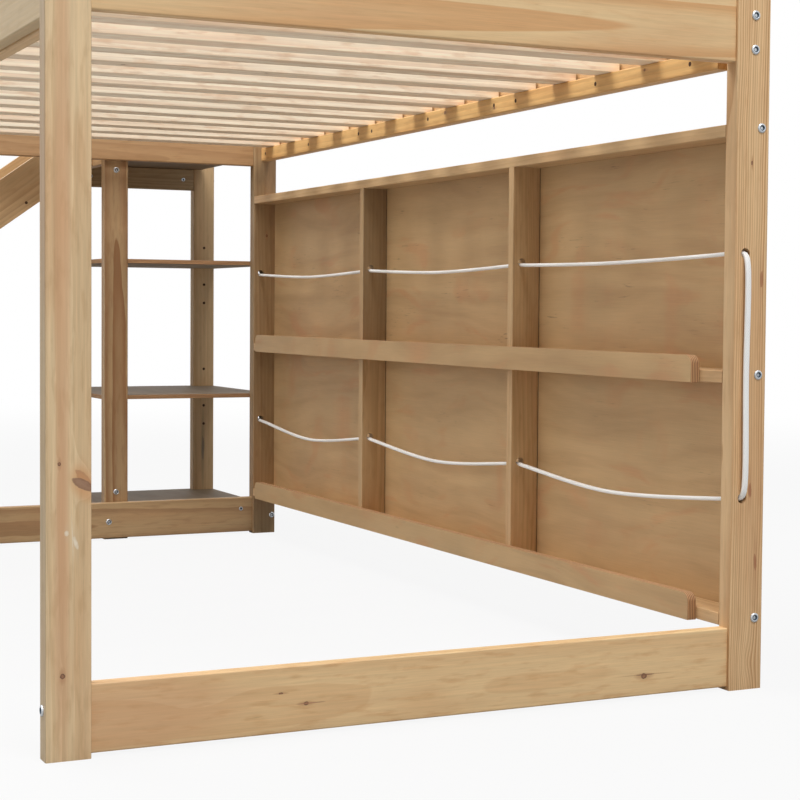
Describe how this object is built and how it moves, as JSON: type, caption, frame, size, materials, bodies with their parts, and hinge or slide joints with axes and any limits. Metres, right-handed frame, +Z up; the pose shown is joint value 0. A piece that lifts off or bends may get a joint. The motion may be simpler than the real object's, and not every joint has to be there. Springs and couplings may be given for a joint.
{
  "type": "loft bed with slide",
  "caption": "Low wooden loft bed: slatted platform on corner posts, bookcase with cord keepers on one long side, shelf tower and straight slide at the far end.",
  "frame": {"origin": "middle of the footprint of the wooden parts, on the floor", "axes": "+X across the bed to the bookcase side, +Y along the bed to the shelf tower, +Z up"},
  "size_m": [1.69, 2.4406, 1.205],
  "materials": {
    "pine": "satin clear lacquer on natural pine, long straight grain",
    "pine_shade": "satin clear lacquer on deeper toned pine",
    "slat_pine": "bare planed pine, pale",
    "plywood": "lacquered veneered plywood",
    "shelf_board": "lacquered plywood, greyer brown",
    "cord": "woven white elastic cord",
    "zinc": "satin zinc plating on the bolts, nuts and screws"
  },
  "bodies": {
    "root": {"post_front_left": "pine", "post_front_right": "pine", "post_rear_left": "pine", "post_rear_right": "pine", "front_lower_rail": "pine", "rear_lower_rail": "pine_shade", "front_end_beam": "pine", "rear_end_beam": "pine_shade", "side_rail_right": "pine", "side_rail_left": "pine", "ledger_right": "pine", "ledger_left": "pine", "slat_01": "slat_pine", "slat_02": "slat_pine", "slat_03": "slat_pine", "slat_04": "slat_pine", "slat_05": "slat_pine", "slat_06": "slat_pine", "slat_07": "slat_pine", "slat_08": "slat_pine", "slat_09": "slat_pine", "slat_10": "slat_pine", "slat_11": "slat_pine", "slat_12": "slat_pine", "slat_13": "slat_pine", "slat_14": "slat_pine", "guard_front": "pine", "guard_rear": "pine", "guard_right": "pine", "guard_left": "pine", "bookcase_bottom": "pine", "bookcase_middle": "pine", "bookcase_top": "pine", "bookcase_back_lower": "plywood", "bookcase_back_upper": "plywood", "divider_lower_1": "pine", "divider_lower_2": "pine", "divider_upper_1": "pine", "divider_upper_2": "pine", "fence_lower": "pine", "fence_upper": "pine", "cord": "cord", "tower_post_near_left": "pine_shade", "tower_post_far_left": "pine_shade", "tower_post_far_right": "pine_shade", "tower_far_rail": "pine_shade", "tower_deck_rail": "pine_shade", "tower_guard_far": "pine", "tower_guard_right": "pine", "tower_shelf_1": "shelf_board", "tower_shelf_2": "shelf_board", "tower_shelf_3": "shelf_board", "tower_deck": "shelf_board", "slide_side_near": "pine", "slide_side_far": "pine", "slide_bed": "plywood", "step_stile": "pine", "step_1": "pine", "step_2": "pine", "step_3": "pine"}
  },
  "joints": []
}
